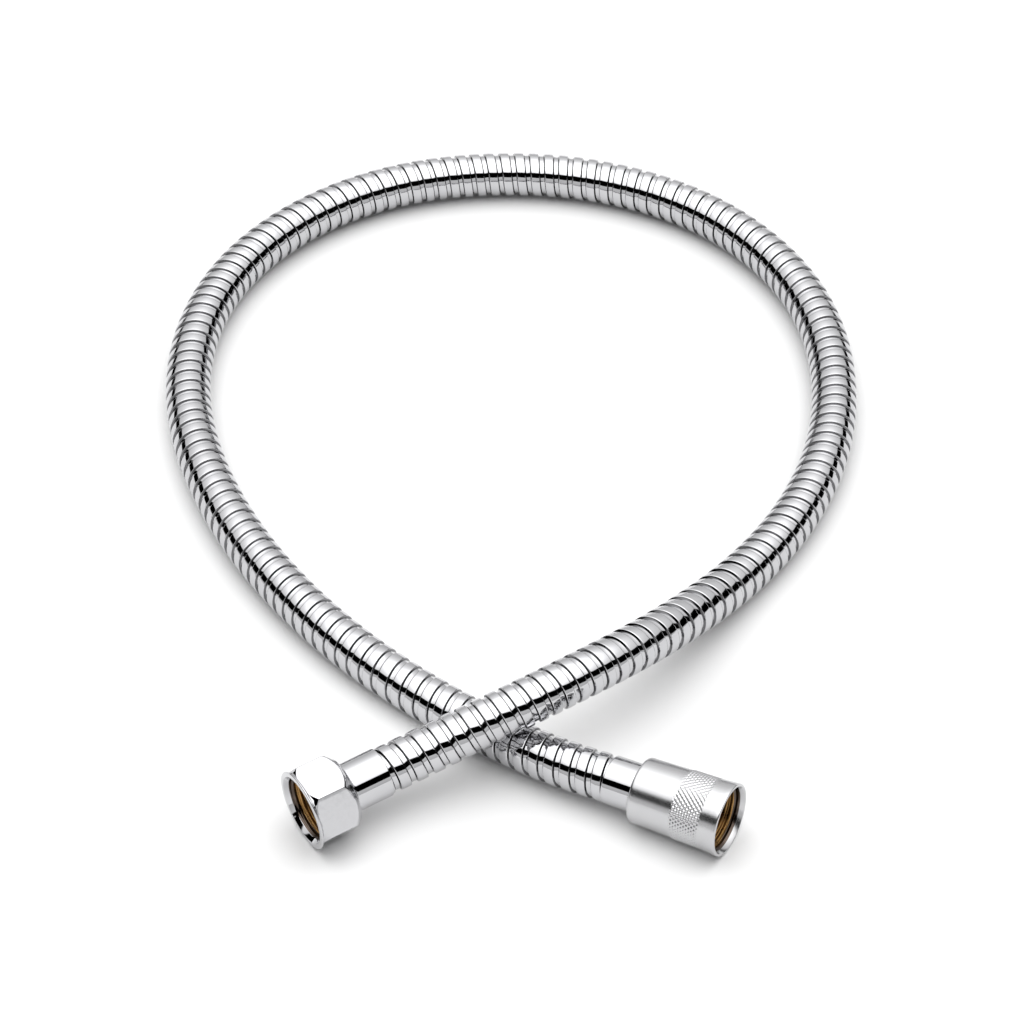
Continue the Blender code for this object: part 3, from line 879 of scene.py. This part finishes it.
def studio_world(studio):
    """A light studio: bright overhead, with one dark band round it that polished metal picks up as a line."""
    world = bpy.data.worlds.new("studio")
    bpy.context.scene.world = world
    world.use_nodes = True
    nodes, links = world.node_tree.nodes, world.node_tree.links
    background = nodes["Background"]
    direction = nodes.new("ShaderNodeTexCoord").outputs["Generated"]
    split = nodes.new("ShaderNodeSeparateXYZ")
    links.new(direction, split.inputs[0])
    # The dark band's lower and upper edge, each with its tilt in degrees, height and blur
    over_low = above_plane(nodes, links, direction, 15, 0.109, 0.01)
    over_high = above_plane(nodes, links, direction, 20, 0.470, 0.01)
    band = math_node(nodes, links, "SUBTRACT", over_low, over_high)
    behind = nodes.new("ShaderNodeMapRange")
    behind.interpolation_type = "SMOOTHSTEP"
    behind.inputs["From Min"].default_value = 0.80
    behind.inputs["From Max"].default_value = 0.93
    behind.inputs["To Min"].default_value = 1.0
    behind.inputs["To Max"].default_value = 0.0
    links.new(split.outputs["Y"], behind.inputs["Value"])
    dark = math_node(nodes, links, "MULTIPLY", band, behind.outputs["Result"])
    open_share = math_node(nodes, links, "SUBTRACT", 1.0, dark)
    ramp = nodes.new("ShaderNodeValToRGB")
    stops = [
        (0.0, 0.70), (0.25, 0.80), (0.35, 0.90), (0.5, 1.08), (0.6, 1.25), (0.67, 1.45), (0.74, 1.75), (0.8, 2.0),
        (0.9, 2.6), (1.0, 3.2)]
    brightest = stops[-1][1]
    elements = ramp.color_ramp.elements
    elements[0].position, elements[1].position = stops[0][0], stops[-1][0]
    for position, _ in stops[1:-1]:
        elements.new(position)
    for element, (_, value) in zip(elements, stops):
        element.color = (value / brightest, value / brightest, value / brightest, 1)
    links.new(split.outputs["Z"], ramp.inputs["Fac"])
    level = math_node(nodes, links, "MULTIPLY", ramp.outputs["Color"], brightest)
    lit = math_node(nodes, links, "MULTIPLY", level, open_share)
    links.new(lit, background.inputs["Color"])
    background.inputs["Strength"].default_value = studio.light
    plain = nodes.new("ShaderNodeBackground")
    plain.inputs["Color"].default_value = (*studio.backdrop, 1)
    plain.inputs["Strength"].default_value = 1.0
    path = nodes.new("ShaderNodeLightPath")
    mix = nodes.new("ShaderNodeMixShader")
    links.new(path.outputs["Is Camera Ray"], mix.inputs["Fac"])
    links.new(background.outputs[0], mix.inputs[1])
    links.new(plain.outputs[0], mix.inputs[2])
    links.new(mix.outputs[0], nodes["World Output"].inputs["Surface"])


def make_floor(studio):
    material, nodes, links, shader = new_material("floor_paper")
    coordinates = nodes.new("ShaderNodeTexCoord").outputs["Object"]
    grain = noise_into(nodes, links, 6, 2, coordinates)
    vary_colour(nodes, links, shader, grain, tuple(studio.floor), 0.995)
    shader.inputs["Roughness"].default_value = 0.9
    shader.inputs["Specular IOR Level"].default_value = 0.0
    half = 12.0
    corners = [(-half, -half, 0), (half, -half, 0), (half, half, 0), (-half, half, 0)]
    floor = add_object("floor", corners, [(0, 1, 2, 3)], material)
    floor.location.z = -0.05 * MM


class HOSE_OT_studio(bpy.types.Operator):
    """Lays the pale floor, the soft light and the camera"""
    bl_idname = "hose.studio"
    bl_label = "Floor, light and camera"

    def execute(self, context):
        studio = context.scene.hose_studio
        make_floor(studio)
        studio_world(studio)
        camera = bpy.data.cameras.new("camera")
        camera.lens = CAMERA_LENS
        camera.sensor_width = SENSOR_WIDTH
        camera.clip_start = 0.05
        camera.clip_end = 50
        holder = bpy.data.objects.new("camera", camera)
        holder.location = CAMERA_EYE
        holder.rotation_euler = (CAMERA_TARGET - CAMERA_EYE).to_track_quat("-Z", "Y").to_euler()
        context.scene.collection.objects.link(holder)
        context.scene.camera = holder
        context.scene.view_settings.view_transform = "Standard"
        return {"FINISHED"}


class HOSE_PT_panel(bpy.types.Panel):
    """Lists the hose's pieces in the sidebar"""
    bl_label = "Flexible hose"
    bl_idname = "HOSE_PT_panel"
    bl_space_type = "VIEW_3D"
    bl_region_type = "UI"
    bl_category = "Hose"

    def draw(self, context):
        for operator in OPERATORS:
            self.layout.operator(operator.bl_idname)
        for name in SETTINGS:
            group = getattr(context.scene, name)
            box = self.layout.box()
            for key in group.bl_rna.properties.keys():
                if key not in {"rna_type", "name"}:
                    box.prop(group, key)


SETTINGS = {
    "hose_armour": HoseArmourSizes, "hose_nuts": HoseNutSizes, "hose_finishes": HoseFinishes,
    "hose_studio": HoseStudio}
OPERATORS = (
    HOSE_OT_studio, HOSE_OT_ferrules, HOSE_OT_hexagon_nut, HOSE_OT_grip_nut, HOSE_OT_inner_pieces, HOSE_OT_armour)


def register():
    for group in (*SETTINGS.values(), *OPERATORS, HOSE_PT_panel):
        bpy.utils.register_class(group)
    for name, group in SETTINGS.items():
        setattr(bpy.types.Scene, name, bpy.props.PointerProperty(type=group))


def unregister():
    for name in SETTINGS:
        delattr(bpy.types.Scene, name)
    for group in (HOSE_PT_panel, *OPERATORS, *SETTINGS.values()):
        bpy.utils.unregister_class(group)


def main():
    register()
    bpy.ops.hose.studio()
    bpy.ops.hose.ferrules()
    bpy.ops.hose.hexagon_nut()
    bpy.ops.hose.grip_nut()
    bpy.ops.hose.inner_pieces()
    bpy.ops.hose.armour()


if __name__ == "__main__":
    main()
